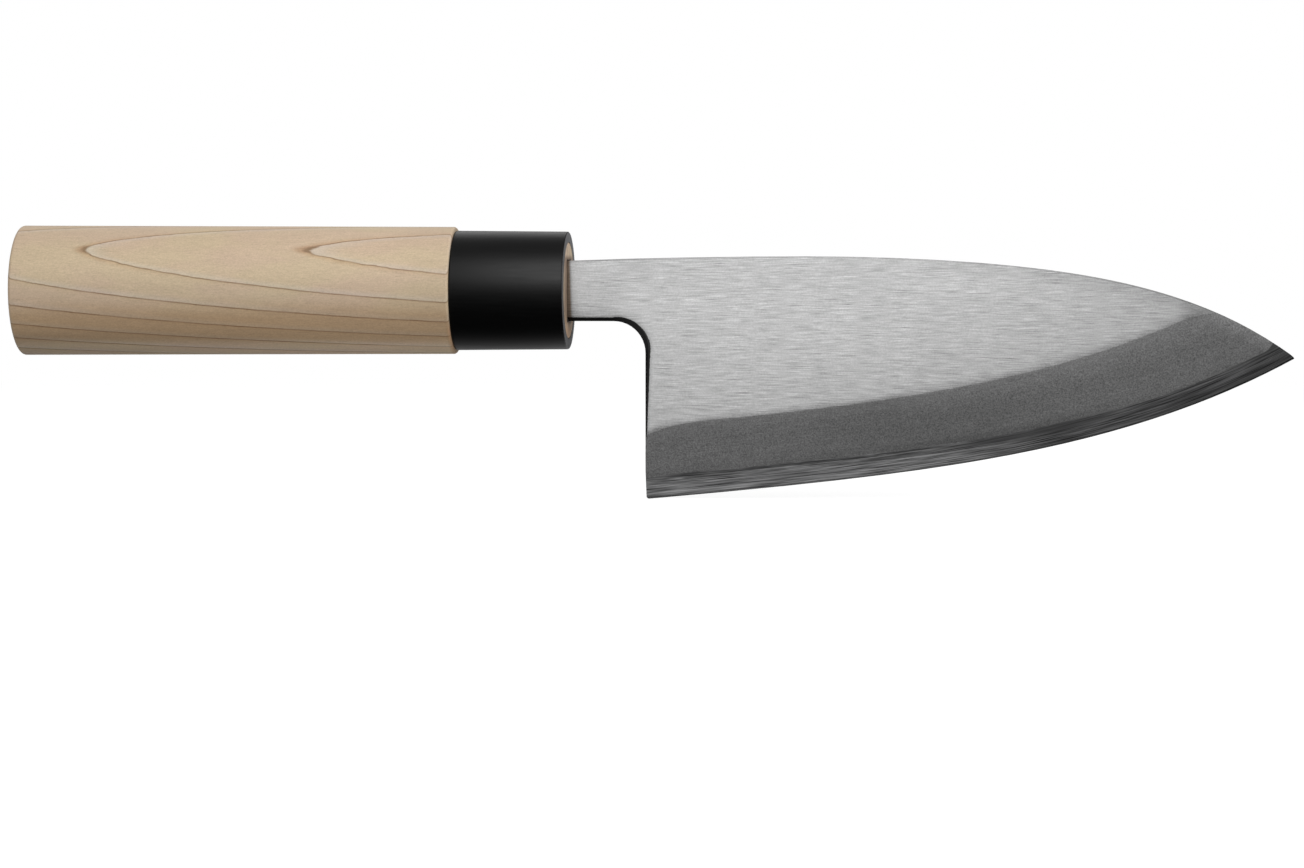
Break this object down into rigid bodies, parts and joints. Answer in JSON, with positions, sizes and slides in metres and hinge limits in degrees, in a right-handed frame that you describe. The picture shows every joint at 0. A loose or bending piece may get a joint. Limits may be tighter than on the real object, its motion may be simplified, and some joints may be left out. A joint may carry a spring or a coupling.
{
  "type": "deba knife",
  "caption": "Heavy single-bevel kitchen knife: laminated blade with a wide bevel and hollow back, oval wooden handle, black ferrule, and a tapered tang that draws out of the handle.",
  "frame": {"origin": "centre of the handle's flat butt face, on the handle's axis", "axes": "+X along the handle to the tip, +Y from the bevelled side to the hollow back, +Z from the edge to the spine"},
  "size_m": [0.3008, 0.0254, 0.0646],
  "materials": {
    "blade_iron": "lengthwise brushed flat, matte bevel, black unpolished tang",
    "edge_steel": "fine lengthwise polish",
    "grip_wood": "sanded, no varnish",
    "ferrule": "satin"
  },
  "bodies": {
    "handle": {"grip_wood": "grip_wood", "ferrule": "ferrule"},
    "blade": {"blade_iron": "blade_iron", "edge_steel": "edge_steel"}
  },
  "joints": [
    {"name": "tang_draw", "type": "slide", "parent": "handle", "child": "blade", "axis": [1, 0, 0], "range_m": [0, 0.094]}
  ]
}
